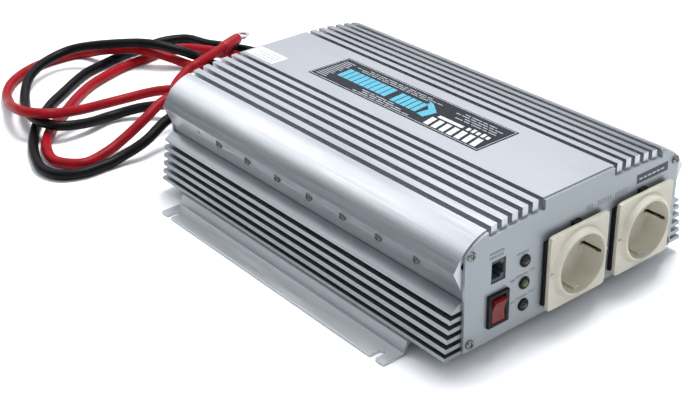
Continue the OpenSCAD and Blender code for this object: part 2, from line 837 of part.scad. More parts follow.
module main_board() {
    color([0.05, 0.35, 0.15])
    difference() {
        block([-board_x, board_y - board_len / 2, board_z],
            [board_x, board_y + board_len / 2, board_z + board_t]);
        for (x = [-1, 1] * standoff_x, y = standoff_y)
            translate([x, y, board_z - 1]) cylinder(r = screw_hole_r, h = board_t + 2);
    }
}

module board_standoffs() {
    color("goldenrod")
    for (x = [-1, 1] * standoff_x, y = standoff_y)
        translate([x, y, floor_z + floor_t])
            rotate_extrude()
                polygon([
                    [0, -2.6], [screw_r, -2.6], [screw_r, 0], [3, 0],
                    [3, board_z - floor_z - floor_t], [screw_r, board_z - floor_z - floor_t],
                    [screw_r, board_z - floor_z], [0, board_z - floor_z]
                ]);
}

transformer_y = [-30, 18, 66];
board_top = board_z + board_t;

// A closed double-window core round each winding
module transformer_cores() {
    color([0.20, 0.20, 0.22])
    for (y = transformer_y)
        difference() {
            block([-24, y - 8, board_top + 4], [24, y + 8, board_top + 40]);
            for (s = [-1, 1])
                block([s * 12 - 6, y - 9, board_top + 11], [s * 12 + 6, y + 9, board_top + 33]);
        }
}

module transformer_windings() {
    color([0.80, 0.45, 0.12])
    for (y = transformer_y)
        difference() {
            union() {
                block([-17.6, y - 15, board_top + 11.3], [17.6, y + 15, board_top + 32.7]);
                block([-20, y - 14, board_top], [20, y + 14, board_top + 3.8]);
                for (s = [-1, 1])
                    block([-14, s * 11.5 + y - 2.5, board_top + 3], [14, s * 11.5 + y + 2.5, board_top + 12]);
            }
            block([-6.3, y - 8.3, board_top + 10], [6.3, y + 8.3, board_top + 34]);
        }
}

module capacitors() {
    color([0.10, 0.12, 0.35])
    for (x = [-40, -14, 12, 38], y = [-98, -70])
        translate([x, y, board_top])
            rotate_extrude()
                polygon([
                    [0, 0], [8.4, 0], [9, 0.8], [9, 2], [8.5, 2.8], [9, 3.6], [9, 33.4],
                    [8.2, 34.2], [0, 34.2]
                ]);
}

// Transistors stand on their leads, flat against the cover's side walls.
module power_transistors() {
    color([0.12, 0.12, 0.13])
    for (side = [-1, 1], i = [0 : side_screw_count - 1])
        if (i != side_screw_count - 1)
            translate([0, side_screw_first_y - i * side_screw_pitch, 0])
                mirror([side < 0 ? 1 : 0, 0, 0])
                    difference() {
                        union() {
                            block([84.6, -5.2, 53.4], [cover_wall_x - 0.1, 5.2, 66]);
                            for (k = [-1, 0, 1]) {
                                block([84.8, 2.6 * k - 0.5, 50.6], [85.8, 2.6 * k + 0.5, 53.5]);
                                block([74.6, 2.6 * k - 0.5, 50.4], [85.8, 2.6 * k + 0.5, 51.4]);
                                block([74.6, 2.6 * k - 0.5, board_top], [75.6, 2.6 * k + 0.5, 50.5]);
                            }
                        }
                        rod_x(0, side_screw_z, screw_hole_r, 80, 95);
                    }
}

// Threaded bars that pull the transistors against the cover
module clamp_bars() {
    color("silver")
    difference() {
        for (side = [-1, 1])
            block([min(side * 78, side * 84.5), -125, 55], [max(side * 78, side * 84.5), 92, 64.5]);
        for (side = [-1, 1], i = [0 : side_screw_count - 1])
            rod_x(side_screw_first_y - i * side_screw_pitch, side_screw_z, screw_hole_r,
                min(side * 76, side * 90), max(side * 76, side * 90));
    }
}

module fuses() {
    color([0.75, 0.45, 0.05])
    for (k = [0 : 4]) {
        block([-60 + 11 * k, 84, board_top + 4], [-55.2 + 11 * k, 103, board_top + 16]);
        for (s = [-1, 1])
            block([-57.9 + 11 * k, 93.5 + 5.5 * s - 2.4, board_top],
                [-57.3 + 11 * k, 93.5 + 5.5 * s + 2.4, board_top + 4]);
    }
}

// Two angled copper bars behind the cable entries, each with a post for two cables
module dc_busbars() {
    color([0.80, 0.42, 0.22])
    for (posts = [[-42, -26], [-10, 6]]) {
        block([posts[0] - 7.4, 106.2, board_top], [posts[1] + 7.4, 109.2, 40]);
        block([posts[0] - 7.4, 102, board_top], [posts[1] + 7.4, 106.3, board_top + 3]);
        for (x = posts)
            rod_y(x, gland_z, 3, 109, 116);
    }
}

// ---------------------------------------------------------------- nodes

top_cover();
chassis();
front_panel();
rear_panel();
foot(-1);  // foot_left
foot(1);  // foot_right
foot_screws();
side_screws();
panel_screws();
outlet_frame(outlet_x);  // outlet_frame_left
outlet_frame(outlet_x + outlet_pitch);  // outlet_frame_right
outlet(outlet_x);  // outlet_left
outlet(outlet_x + outlet_pitch);  // outlet_right
earth_clips(outlet_x);  // earth_clips_left
earth_clips(outlet_x + outlet_pitch);  // earth_clips_right
contacts(outlet_x);  // contacts_left
contacts(outlet_x + outlet_pitch);  // contacts_right
switch_bezel();
switch_rocker();
switch_terminals();
remote_jack();
jack_contacts();
indicator_holders();
indicator(0, [0.10, 0.14, 0.18]);  // indicator_upper
indicator(1, [0.25, 0.45, 0.12]);  // indicator_middle
indicator(2, [0.06, 0.07, 0.08]);  // indicator_lower
top_label();
rating_sticker();
front_label();
fan_frame();
fan_rotor();
fan_guard();
fan_screws();
earth_stud();
earth_nut();
strain_relief(6);  // strain_relief_red_a
strain_relief(-10);  // strain_relief_red_b
strain_relief(-26);  // strain_relief_black_a
strain_relief(-42);  // strain_relief_black_b
cable(route_red_a, cable_red);  // cable_red_a
cable(route_red_b, cable_red);  // cable_red_b
cable(route_black_a, "black");  // cable_black_a
cable(route_black_b, "black");  // cable_black_b
sleeve(route_red_a, cable_red);  // sleeve_red_a
sleeve(route_red_b, cable_red);  // sleeve_red_b
sleeve(route_black_a, "black");  // sleeve_black_a
sleeve(route_black_b, "black");  // sleeve_black_b
lug(route_red_a);  // lug_red_a
lug(route_red_b);  // lug_red_b
lug(route_black_a);  // lug_black_a
lug(route_black_b);  // lug_black_b
main_board();
board_standoffs();
transformer_cores();
transformer_windings();
capacitors();
power_transistors();
clamp_bars();
fuses();
dc_busbars();
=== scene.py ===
"""A power inverter of ribbed and finned aluminium, with its battery cables, on a pale studio floor."""

import math

import bmesh
import bpy
from mathutils import Matrix, Vector


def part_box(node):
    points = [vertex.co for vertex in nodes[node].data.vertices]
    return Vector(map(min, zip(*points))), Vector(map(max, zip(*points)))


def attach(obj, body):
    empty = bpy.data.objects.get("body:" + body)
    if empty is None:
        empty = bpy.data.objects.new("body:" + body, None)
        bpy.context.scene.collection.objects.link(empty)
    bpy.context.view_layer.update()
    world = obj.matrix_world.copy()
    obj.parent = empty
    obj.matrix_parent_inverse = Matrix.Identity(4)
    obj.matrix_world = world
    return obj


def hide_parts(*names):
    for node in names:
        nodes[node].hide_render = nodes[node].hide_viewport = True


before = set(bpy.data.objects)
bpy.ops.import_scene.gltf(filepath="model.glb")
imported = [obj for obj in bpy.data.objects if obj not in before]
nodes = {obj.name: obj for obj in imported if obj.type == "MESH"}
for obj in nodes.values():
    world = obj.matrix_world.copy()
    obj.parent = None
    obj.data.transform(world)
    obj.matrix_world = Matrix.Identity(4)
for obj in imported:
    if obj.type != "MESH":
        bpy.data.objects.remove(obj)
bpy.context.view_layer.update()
scene = bpy.context.scene

MM = 0.001

# ------------------------------------------------------------------ camera

CAMERA_AZIMUTH = math.radians(-38.562)
CAMERA_ELEVATION = math.radians(28.661)
CAMERA_ROLL = math.radians(-1.466)
CAMERA_PLACE = Vector((-0.50801, -0.57210, 0.43234))
CAMERA_LENS = 63.36
CAMERA_SENSOR = 36.0


def make_camera():
    """The fixed viewpoint: azimuth 0 looks along +Y, and the roll tips the horizon slightly."""
    back = Vector(
        (
            math.sin(CAMERA_AZIMUTH) * math.cos(CAMERA_ELEVATION),
            -math.cos(CAMERA_AZIMUTH) * math.cos(CAMERA_ELEVATION),
            math.sin(CAMERA_ELEVATION),
        )
    )
    right = Vector((0, 0, 1)).cross(back).normalized()
    up = back.cross(right)
    cosine, sine = math.cos(CAMERA_ROLL), math.sin(CAMERA_ROLL)
    rolled_right = cosine * right + sine * up
    rolled_up = cosine * up - sine * right
    data = bpy.data.cameras.new("camera")
    data.lens = CAMERA_LENS
    data.sensor_width = CAMERA_SENSOR
    data.sensor_fit = "HORIZONTAL"
    data.clip_start = 0.01
    data.clip_end = 50
    camera = bpy.data.objects.new("camera", data)
    turn = Matrix((rolled_right, rolled_up, back)).transposed().to_4x4()
    camera.matrix_world = Matrix.Translation(CAMERA_PLACE) @ turn
    scene.collection.objects.link(camera)
    scene.camera = camera


make_camera()

# ------------------------------------------------------------------ materials


# A colour mix's own sockets: the first colour, the second colour and the result.
MIX_FIRST, MIX_SECOND, MIX_RESULT = 6, 7, 2

CLEAR_COAT_ROUGHNESS = 0.08
EVEN = (1, 1, 1)
ALONG_THE_BAR = (1, 0.02, 1)
LONG_CLOUDS = (1, 0.6, 1)


class Shader:
    """A Principled material, and the few node chains that the finishes are made of."""

    def __init__(self, name, colour, metallic=0.0, roughness=0.5, coat=0.0, specular=0.5):
        self.material = bpy.data.materials.new(name)
        self.material.use_nodes = True
        self.tree = self.material.node_tree
        self.surface = self.tree.nodes["Principled BSDF"]
        self.colour = colour
        self.surface.inputs["Base Color"].default_value = (*colour, 1)
        self.surface.inputs["Metallic"].default_value = metallic
        self.surface.inputs["Roughness"].default_value = roughness
        self.surface.inputs["Specular IOR Level"].default_value = specular
        self.surface.inputs["Coat Weight"].default_value = coat
        self.surface.inputs["Coat Roughness"].default_value = CLEAR_COAT_ROUGHNESS
        self.normal = None

    def node(self, kind, **values):
        made = self.tree.nodes.new(kind)
        for key, value in values.items():
            if key in made.inputs:
                made.inputs[key].default_value = value
            else:
                setattr(made, key, value)
        return made

    def link(self, source, target):
        self.tree.links.new(source, target)

    def noise(self, scale, detail=3.0, stretch=EVEN):
        """Noise over the object's own coordinates, in cells per metre."""
        place = self.node("ShaderNodeTexCoord")
        sizing = self.node("ShaderNodeMapping", Scale=stretch)
        made = self.node("ShaderNodeTexNoise", Scale=scale, Detail=detail)
        self.link(place.outputs["Object"], sizing.inputs["Vector"])
        self.link(sizing.outputs["Vector"], made.inputs["Vector"])
        return made.outputs["Fac"]

    def spread(self, source, low, high, start=0.3, end=0.7):
        """Maps a noise value from start..end to low..high."""
        made = self.node(
            "ShaderNodeMapRange",
            **{"From Min": start, "From Max": end, "To Min": low, "To Max": high},
        )
        self.link(source, made.inputs["Value"])
        return made.outputs["Result"]

    def tint(self, source, other):
        """Blends the base colour towards another where the noise is high."""
        made = self.node("ShaderNodeMix", data_type="RGBA")
        made.inputs[MIX_FIRST].default_value = (*self.colour, 1)
        made.inputs[MIX_SECOND].default_value = (*other, 1)
        self.link(self.spread(source, 0, 1, 0.35, 0.65), made.inputs["Factor"])
        self.link(made.outputs[MIX_RESULT], self.surface.inputs["Base Color"])

    def gloss(self, source, low, high):
        """Varies the roughness between low and high."""
        self.link(self.spread(source, low, high), self.surface.inputs["Roughness"])

    def relief(self, source, strength, depth):
        """Adds a bump of the given depth in millimetres on top of the ones before it."""
        made = self.node("ShaderNodeBump", Strength=strength, Distance=depth * MM)
        self.link(source, made.inputs["Height"])
        if self.normal is not None:
            self.link(self.normal, made.inputs["Normal"])
        self.normal = made.outputs["Normal"]
        self.link(self.normal, self.surface.inputs["Normal"])


def shade(colour, factor):
    return tuple(min(1.0, c * factor) for c in colour)


def drawn_metal(name, colour, roughness):
    """Anodised extrusion: fine draw lines along the bar, a matt tooth, and slow clouds of tone."""
    made = Shader(name, colour, 1.0, roughness)
    lines = made.noise(900, 4, ALONG_THE_BAR)
    made.tint(made.noise(14, 2, LONG_CLOUDS), shade(colour, 0.93))
    made.gloss(lines, roughness - 0.05, roughness + 0.07)
    made.relief(made.noise(2600, 2), 0.25, 0.02)
    made.relief(lines, 0.3, 0.02)
    return made.material


def plain_metal(name, colour, roughness):
    """Turned, plated or cast metal: one even grain."""
    made = Shader(name, colour, 1.0, roughness)
    grain = made.noise(700, 4)
    made.tint(grain, shade(colour, 0.82))
    made.gloss(grain, roughness - 0.08, roughness + 0.12)
    made.relief(grain, 0.2, 0.03)
    return made.material


def painted(name, colour, roughness):
    """Satin paint with a fine orange-peel skin."""
    made = Shader(name, colour, 0.55, roughness)
    skin = made.noise(1500, 2)
    made.tint(made.noise(20, 2), shade(colour, 0.95))
    made.gloss(skin, roughness - 0.05, roughness + 0.06)
    made.relief(skin, 0.25, 0.03)
    return made.material


def moulded(name, colour, roughness=0.35, scale=1800, strength=0.2, coat=0.0, specular=0.5):
    """Moulded plastic or rubber: a fine spark-eroded texture and slight unevenness in tone."""
    made = Shader(name, colour, 0.0, roughness, coat, specular)
    texture = made.noise(scale)
    made.tint(made.noise(60, 2), shade(colour, 0.88))
    made.gloss(texture, roughness - 0.06, roughness + 0.08)
    made.relief(texture, strength, 0.04)
    return made.material


def sheathing(name, colour, roughness):
    """Soft cable sheath: shallow waves from the strands below, and a dusty gloss."""
    made = Shader(name, colour, 0.0, roughness, specular=0.13)
    waves = made.noise(90)
    dust = made.noise(1300)
    made.tint(waves, shade(colour, 0.72))
    made.gloss(dust, roughness - 0.05, roughness + 0.12)
    made.relief(waves, 0.35, 0.4)
    made.relief(dust, 0.15, 0.04)
    return made.material


def printed(name, colour, roughness, fleck=0.9):
    """Printed film: even ink with faint mottling under a clear gloss."""
    made = Shader(name, colour, 0.0, roughness, specular=0.12)
    mottle = made.noise(260, 4)
    made.tint(mottle, shade(colour, fleck))
    made.relief(mottle, 0.1, 0.03)
    return made.material


def lens(name, colour, glow=0.0):
    """Clear-cast indicator lens, its colour uneven through its depth."""
    made = Shader(name, colour, 0.0, 0.12, coat=0.25, specular=0.4)
    depth = made.noise(500, 2)
    made.tint(depth, shade(colour, 0.6))
    made.relief(depth, 0.06, 0.03)
    made.surface.inputs["Emission Color"].default_value = (*colour, 1)
    made.surface.inputs["Emission Strength"].default_value = glow
    return made.material


COVER = drawn_metal("anodised_cover", (0.51, 0.525, 0.55), 0.34)
FINNED = drawn_metal("anodised_chassis", (0.32, 0.34, 0.36), 0.42)
FOOT = drawn_metal("foot_metal", (0.51, 0.53, 0.55), 0.42)
PANEL = painted("panel_paint", (0.325, 0.352, 0.375), 0.42)
ZINC = plain_metal("zinc_plating", (0.26, 0.26, 0.25), 0.3)
# A copy of the zinc plating darkened by half for the side screws: painted shade of the face under the
# cover's shoulder, where they sit.
SHADED_ZINC = plain_metal("painted_shade_zinc", (0.13, 0.13, 0.13), 0.36)
WIRE = plain_metal("guard_plating", (0.70, 0.70, 0.70), 0.2)
BRASS = plain_metal("brass", (0.78, 0.60, 0.30), 0.25)
# Brass darkened almost to black for the earth clips: painted shade of the slots in the outlet wells
# where they sit.
SLOT_SHADED_BRASS = plain_metal("painted_shade_brass", (0.035, 0.027, 0.016), 0.4)
TINNED = plain_metal("tinned_copper", (0.72, 0.70, 0.66), 0.28)
COPPER = plain_metal("copper", (0.75, 0.40, 0.26), 0.3)
IVORY = moulded("ivory_plastic", (0.64, 0.605, 0.50), 0.33, 1400, 0.08, 0.1)
BLACK = moulded("black_plastic", (0.006, 0.006, 0.007), 0.42, specular=0.16)
JACK_GREY = moulded("jack_plastic", (0.05, 0.06, 0.07), 0.4, specular=0.35)
RUBBER = moulded("black_rubber", (0.015, 0.015, 0.015), 0.55, 900, 0.3)
RED_KEY = moulded("red_rocker_plastic", (0.19, 0.008, 0.013), 0.34, 1200, 0.1, 0.05, 0.3)
RED_CABLE = sheathing("red_sheath", (0.30, 0.004, 0.010), 0.4)
BLACK_CABLE = sheathing("black_sheath", (0.002, 0.002, 0.0025), 0.4)
RED_SLEEVE = moulded("red_sleeve", (0.32, 0.006, 0.014), 0.45, 500, 0.3, specular=0.3)
BLACK_SLEEVE = moulded("black_sleeve", (0.010, 0.010, 0.011), 0.5, 500, 0.3, specular=0.3)
LABEL_BLACK = printed("label_black", (0.014, 0.018, 0.024), 0.42, 0.7)
INK_CYAN = printed("ink_cyan", (0.09, 0.37, 0.50), 0.35)
INK_WHITE = printed("ink_white", (0.62, 0.64, 0.66), 0.4)
INK_PALE = printed("ink_pale", (0.36, 0.38, 0.41), 0.4)
INK_GREY = printed("ink_grey", (0.20, 0.22, 0.25), 0.5)
LABEL_GREY = printed("label_grey", (0.075, 0.09, 0.10), 0.4)
PAPER = printed("sticker_paper", (0.58, 0.595, 0.62), 0.5, 0.96)
DARK_LENS = lens("dark_lens", (0.012, 0.017, 0.024))
GREEN_LENS = lens("green_lens", (0.06, 0.13, 0.03), 0.04)
BOARD = moulded("solder_mask", (0.03, 0.20, 0.09), 0.3, 700, 0.2)
FERRITE = moulded("ferrite", (0.06, 0.06, 0.065), 0.6, 900, 0.4)
WINDING = moulded("winding_tape", (0.55, 0.28, 0.07), 0.35, 500, 0.3)
CAPACITOR = moulded("capacitor_sleeve", (0.03, 0.04, 0.15), 0.25, 600, 0.2)
FUSE = moulded("fuse_body", (0.70, 0.34, 0.04), 0.2, 600, 0.1)

# ------------------------------------------------------------------ building


ROUNDED_ANGLE = math.radians(32)
FLAT_ANGLE = math.radians(0.4)
SAME_POINT = 0.001 * MM


def add_object(name, data, material, body="housing"):
    """One finished piece, which rides on a body of the frame."""
    made = bpy.data.objects.new(name, data)
    data.materials.clear()
    data.materials.append(material)
    scene.collection.objects.link(made)
    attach(made, body)
    return made


def smooth(mesh, angle=ROUNDED_ANGLE):
    """Smooth shading, with sharp edges above an angle."""
    mesh.shade_smooth()
    mesh.set_sharp_from_angle(angle=angle)


def mesh_from(name, points, faces):
    """A mesh with its faces turned outwards."""
    mesh = bpy.data.meshes.new(name)
    mesh.from_pydata(points, [], faces)
    mesh.validate()
    shape = bmesh.new()
    shape.from_mesh(mesh)
    bmesh.ops.recalc_face_normals(shape, faces=shape.faces)
    shape.to_mesh(mesh)
    shape.free()
    return mesh


def refine(node, material, width=0.3, segments=2, body="housing"):
    """A finished copy of a CAD node: its flat faces made whole, and its edges rounded."""
    mesh = nodes[node].data.copy()
    mesh.name = node + "_finished"
    if "custom_normal" in mesh.attributes:
        mesh.attributes.remove(mesh.attributes["custom_normal"])
    shape = bmesh.new()
    shape.from_mesh(mesh)
    bmesh.ops.remove_doubles(shape, verts=shape.verts, dist=SAME_POINT)
    bmesh.ops.dissolve_limit(shape, angle_limit=FLAT_ANGLE, verts=shape.verts, edges=shape.edges)
    shape.to_mesh(mesh)
    shape.free()
    made = add_object(node + "_finished", mesh, material, body)
    if width > 0:
        bevel = made.modifiers.new("rounded_edges", "BEVEL")
        bevel.width = width * MM
        bevel.segments = segments
        bevel.limit_method = "ANGLE"
        bevel.angle_limit = ROUNDED_ANGLE
        bevel.harden_normals = True
        bevel.use_clamp_overlap = True
    smooth(mesh)
    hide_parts(node)
    return made


def finish_node(node, material):
    """Gives a CAD node that stays as it is its own finish."""
    data = nodes[node].data
    data.materials.clear()
    data.materials.append(material)


# ------------------------------------------------------------------ cables

CABLE_DIAMETER = 0.0084
ON_THE_FLOOR = CABLE_DIAMETER / 2 + 0.2 * MM
HANDLE_SHARE = 1 / 6

# Points in millimetres, from the strain relief to the sleeve.
ROUTES = {
    "red_a": [
        (6, 177, 34), (6, 196, 33.3), (4, 217, 29.7), (1, 239, 24),
        (-7, 262, 17.4), (-17, 281, 14.2), (-32, 295, 11.4), (-52, 303, 9),
        (-75, 303, 10.2), (-102, 295, 15.6), (-127, 290, 22.2), (-142, 307, 22.6),
        (-139, 339, 15.6), (-131, 364, 9), (-122, 389, 4.8), (-109, 409, 4.2),
        (-93, 423, 4.2), (-73, 433, 4.2), (-50, 437, 4.2), (-25, 433, 4.2),
        (-14, 406, 12.4), (1, 391, 13.8), (13, 373, 13.8), (27, 357, 7.8),
        (36, 336, 4.4), (46, 313, 4.2), (52, 290, 4.2), (47, 268, 4.2),
        (28, 254, 4.2), (6, 257, 4.2), (-8, 275, 4.2), (-8, 298, 5.4),
        (16, 315, 10.4), (29, 316, 14.4), (49, 323, 15.2), (67, 331, 15.2),
    ],
    "red_b": [
        (-10, 177, 34), (-10, 196, 34), (-14, 217, 33.6), (-27, 235, 31.9),
        (-52, 239, 27.9), (-73, 234, 20.4), (-93, 232, 11.4), (-113, 229, 5.4),
        (-136, 226, 4.2), (-150, 245, 4.2), (-144, 271, 4.2), (-132, 291, 4.2),
        (-117, 308, 4.2), (-98, 325, 4.2), (-77, 344, 4.2), (-55, 360, 4.2),
        (-31, 371, 4.2), (-10, 378, 4.2), (12, 381, 4.2), (35, 385, 4.2),
        (54, 380, 4.2), (67, 363, 4.2), (76, 343, 4.2), (83, 321, 4.2),
        (90, 299, 4.2), (98, 277, 5.4), (107, 256, 5.4),
    ],
    "black_a": [
        (-26, 177, 34), (-26, 196, 31.9), (-28, 217, 26.5), (-30, 240, 18.8),
        (-38, 262, 12.6), (-55, 279, 8.6), (-77, 287, 5.4), (-102, 281, 9),
        (-126, 283, 13.4), (-134, 305, 13.8), (-130, 331, 11.4), (-120, 356, 7.2),
        (-110, 377, 7.2), (-96, 397, 10.2), (-79, 410, 13.2), (-59, 418, 15),
        (-42, 416, 18), (-28, 403, 21.6), (-11, 388, 23.4), (6, 374, 23.6),
        (17, 359, 22.6), (31, 346, 17.4), (46, 338, 9), (54, 321, 4.2),
        (61, 298, 4.2), (68, 275, 4.2), (79, 254, 5.4), (93, 236, 5.4),
    ],
    "black_b": [
        (-42, 177, 34), (-43, 193, 32.6), (-49, 211, 28.6), (-66, 214, 22.8),
        (-88, 210, 13.8), (-106, 212, 7.2), (-124, 212, 4.2), (-143, 212, 4.2),
        (-159, 221, 4.2), (-164, 239, 4.2), (-160, 257, 4.2), (-153, 276, 4.2),
        (-143, 295, 4.2), (-131, 314, 4.2), (-117, 330, 4.2), (-100, 347, 4.2),
        (-82, 361, 4.2), (-64, 375, 4.2), (-44, 388, 4.2), (-22, 396, 4.2),
        (2, 403, 4.2), (26, 406, 4.2), (50, 408, 4.2), (70, 398, 4.2),
        (77, 374, 4.2), (88, 353, 4.2), (95, 330, 5.4), (102, 308, 5.4),
    ],
}


def make_cable(name, material):
    """One smooth curve through the route's points, level wherever it lies on the floor."""
    route = [Vector(point) * MM for point in ROUTES[name]]
    curve = bpy.data.curves.new("cable_" + name, "CURVE")
    curve.dimensions = "3D"
    curve.resolution_u = 6
    curve.bevel_depth = CABLE_DIAMETER / 2
    curve.bevel_resolution = 5
    curve.use_fill_caps = True
    spline = curve.splines.new("BEZIER")
    spline.bezier_points.add(len(route) - 1)
    ends = [route[0], *route, route[-1]]
    for k, (knot, place) in enumerate(zip(spline.bezier_points, route)):
        reach = (ends[k + 2] - ends[k]) * HANDLE_SHARE
        if place.z < ON_THE_FLOOR:
            reach.z = 0
        knot.handle_left_type = knot.handle_right_type = "FREE"
        knot.co = place
        knot.handle_left = place - reach
        knot.handle_right = place + reach
    made = add_object("cable_" + name + "_finished", curve, material)
    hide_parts("cable_" + name)
    return made


for name in ROUTES:
    red = name.startswith("red")
    cable = make_cable(name, RED_CABLE if red else BLACK_CABLE)
    relief = refine("strain_relief_" + name, RUBBER, 0.25, 2)
    sleeve = refine(
        "sleeve_" + name, RED_SLEEVE if red else BLACK_SLEEVE, 0.5, 3,
    )
    lug = refine("lug_" + name, TINNED, 0.35, 2)

# ------------------------------------------------------------------ housing

refine("top_cover", COVER, 0.35, 3)
refine("chassis", FINNED, 0.3, 2)
refine("foot_left", FOOT, 0.35, 2)
refine("foot_right", FOOT, 0.35, 2)
refine("front_panel", PANEL, 0.25, 2)
refine("rear_panel", PANEL, 0.25, 2)
for name in ("foot_screws", "panel_screws", "fan_screws", "earth_nut"):
    refine(name, ZINC, 0.12, 2)
# The side screws take the darkened zinc, painted shade of the face under the shoulder.
refine("side_screws", SHADED_ZINC, 0.12, 2)
refine("earth_stud", BRASS, 0.2, 2)

# ------------------------------------------------------------------ outlets

OUTLET_SIDES = 96
ROD_SIDES = 32
PLATE_CORNER = 2.2
WELL_DEPTH = 17.5
PAST_THE_BACK = 35.0
PIN_OFFSET = 9.5
PIN_RADIUS = 2.5
POCKET_RADIUS = 3.6
POCKET_DEPTH = WELL_DEPTH + 4
CLIP_OFFSET = 19.0
CLIP_SLOT = (2.05, 1.25)
CLIP_SLOT_START = 3.0
GUIDE_INNER, GUIDE_OUTER = 17.6, 19.45
GUIDE_HALF_WIDTH = 2.6
GUIDE_START = 4.0
RIDGE_INNER, RIDGE_OUTER = 22.4, 25.4
RIDGE_FRONT, RIDGE_BACK = 2.7, 4.1
RIDGE_HALF_HEIGHT = 0.6
WELL_SHARP_ANGLE = math.radians(28)

# Each ring: how square it is (1) or round (0), its half width or radius, and its depth behind
# the collar's front, from the back of the body round the plate and collar to the well's floor.
OUTLET_RINGS = (
    (0, 21.4, 33.0), (0, 21.4, 6.5), (1, 25.8, 6.5), (1, 26.0, 6.3),
    (1, 26.0, 4.3), (1, 25.85, 3.9), (1, 25.5, 3.7), (1, 25.1, 3.75),
    (0.8, 24.8, 4.0), (0.5, 24.6, 4.2), (0.2, 24.3, 4.2), (0, 23.9, 4.0),
    (0, 23.3, 3.4), (0, 22.6, 2.5), (0, 21.9, 1.5), (0, 21.4, 0.7),
    (0, 20.9, 0.2), (0, 20.4, 0.0), (0, 19.95, 0.1), (0, 19.6, 0.5),
    (0, 19.5, 1.1), (0, 19.5, 16.1), (0, 19.3, 16.9), (0, 18.8, 17.35),
    (0, 18.0, WELL_DEPTH), (0, 9.0, WELL_DEPTH),
)


def plate_radius(angle, half):
    """Distance from the middle of the rounded square plate to its edge, in a direction."""
    dx, dz = abs(math.cos(angle)), abs(math.sin(angle))
    straight = half / max(dx, dz)
    inner = half - PLATE_CORNER
    if min(dx, dz) * straight <= inner:
        return straight
    along = (dx + dz) * inner
    return along + math.sqrt(max(0.0, along**2 - 2 * inner**2 + PLATE_CORNER**2))


def ring_points(middle, depth, radii):
    """Points round an axis along y, one for each radius, at a depth behind the middle."""
    step = 2 * math.pi / len(radii)
    return [
        (middle + Vector((r * math.cos(step * k), depth, r * math.sin(step * k)))) * MM
        for k, r in enumerate(radii)
    ]


def tube_faces(rings, sides):
    """The walls between rings of points, and a flat face over each end."""
    faces = []
    for ring in range(rings - 1):
        for k in range(sides):
            a = ring * sides + k
            b = ring * sides + (k + 1) % sides
            faces.append((a, b, b + sides, a + sides))
    last = (rings - 1) * sides
    faces.append(tuple(range(sides)))
    faces.append(tuple(range(last, last + sides)))
    return faces


def outlet_mesh(name, middle):
    """Rings of points joined in turn: back, plate, collar, well wall and well floor."""
    points = []
    for square, size, depth in OUTLET_RINGS:
        angles = [2 * math.pi * k / OUTLET_SIDES for k in range(OUTLET_SIDES)]
        radii = [square * plate_radius(angle, size) + (1 - square) * size for angle in angles]
        points += ring_points(middle, depth, radii)
    return mesh_from(name, points, tube_faces(len(OUTLET_RINGS), OUTLET_SIDES))


def box_mesh(name, middle, low, high):
    """A box between two corners, in millimetres from the middle."""
    xs, ys, zs = zip(low, high)
    points = [(middle + Vector((x, y, z))) * MM for x in xs for y in ys for z in zs]
    faces = [(0, 1, 3, 2), (4, 6, 7, 5), (0, 4, 5, 1), (2, 3, 7, 6), (0, 2, 6, 4), (1, 5, 7, 3)]
    return mesh_from(name, points, faces)


def rod_mesh(name, middle, radius, depths):
    """A round rod along y between two depths behind the middle."""
    points = [place for depth in depths for place in ring_points(middle, depth, [radius] * ROD_SIDES)]
    return mesh_from(name, points, tube_faces(len(depths), ROD_SIDES))


def cut(target, meshes):
    """Takes the given meshes out of an object, and keeps the result as its own mesh."""
    for mesh in meshes:
        tool = bpy.data.objects.new("cutter", mesh)
        scene.collection.objects.link(tool)
        boolean = target.modifiers.new("cut", "BOOLEAN")
        boolean.operation = "DIFFERENCE"
        boolean.solver = "EXACT"
        boolean.object = tool
        bpy.context.view_layer.update()
        evaluated = target.evaluated_get(bpy.context.evaluated_depsgraph_get())
        result = bpy.data.meshes.new_from_object(evaluated)
        target.modifiers.remove(boolean)
        bpy.data.objects.remove(tool)
        target.data = result


def outlet_cutters(middle):
    """The pin holes with their wider pockets, and the slots for the earth clips."""
    found = []
    half_x, half_z = CLIP_SLOT
    for sign in (-1, 1):
        pin = middle + Vector((0, 0, sign * PIN_OFFSET))
        found.append(rod_mesh("pin_hole", pin, PIN_RADIUS, (WELL_DEPTH - 1, POCKET_DEPTH + 0.2)))
        found.append(rod_mesh("pin_pocket", pin, POCKET_RADIUS, (POCKET_DEPTH, PAST_THE_BACK)))
        clip = middle + Vector((sign * CLIP_OFFSET, 0, 0))
        low = (-half_x, CLIP_SLOT_START, -half_z)
        found.append(box_mesh("clip_slot", clip, low, (half_x, PAST_THE_BACK, half_z)))
    return found


def rounded_box(name, middle, low, high, radius):
    """An ivory box with rounded edges, as a piece of its own."""
    made = add_object(name, box_mesh(name, middle, low, high), IVORY)
    bevel = made.modifiers.new("rounded_edges", "BEVEL")
    bevel.width = radius * MM
    bevel.segments = 3
    smooth(made.data)


def make_guide(side, sign, middle):
    """Guide rib that runs down the well's wall, above or below the pins."""
    z0, z1 = sorted((sign * GUIDE_INNER, sign * GUIDE_OUTER))
    name = "outlet_guide_{}_{}".format(side, "upper" if sign > 0 else "lower")
    low = (-GUIDE_HALF_WIDTH, GUIDE_START, z0)
    high = (GUIDE_HALF_WIDTH, WELL_DEPTH + 0.2, z1)
    rounded_box(name, middle, low, high, 0.5)


def make_plate_ridge(side, sign, middle):
    """Short moulded ridge between the plate's edge and the collar."""
    x0, x1 = sorted((sign * RIDGE_INNER, sign * RIDGE_OUTER))
    name = "outlet_ridge_{}_{}".format(side, "right" if sign > 0 else "left")
    low = (x0, RIDGE_FRONT, -RIDGE_HALF_HEIGHT)
    high = (x1, RIDGE_BACK, RIDGE_HALF_HEIGHT)
    rounded_box(name, middle, low, high, 0.35)


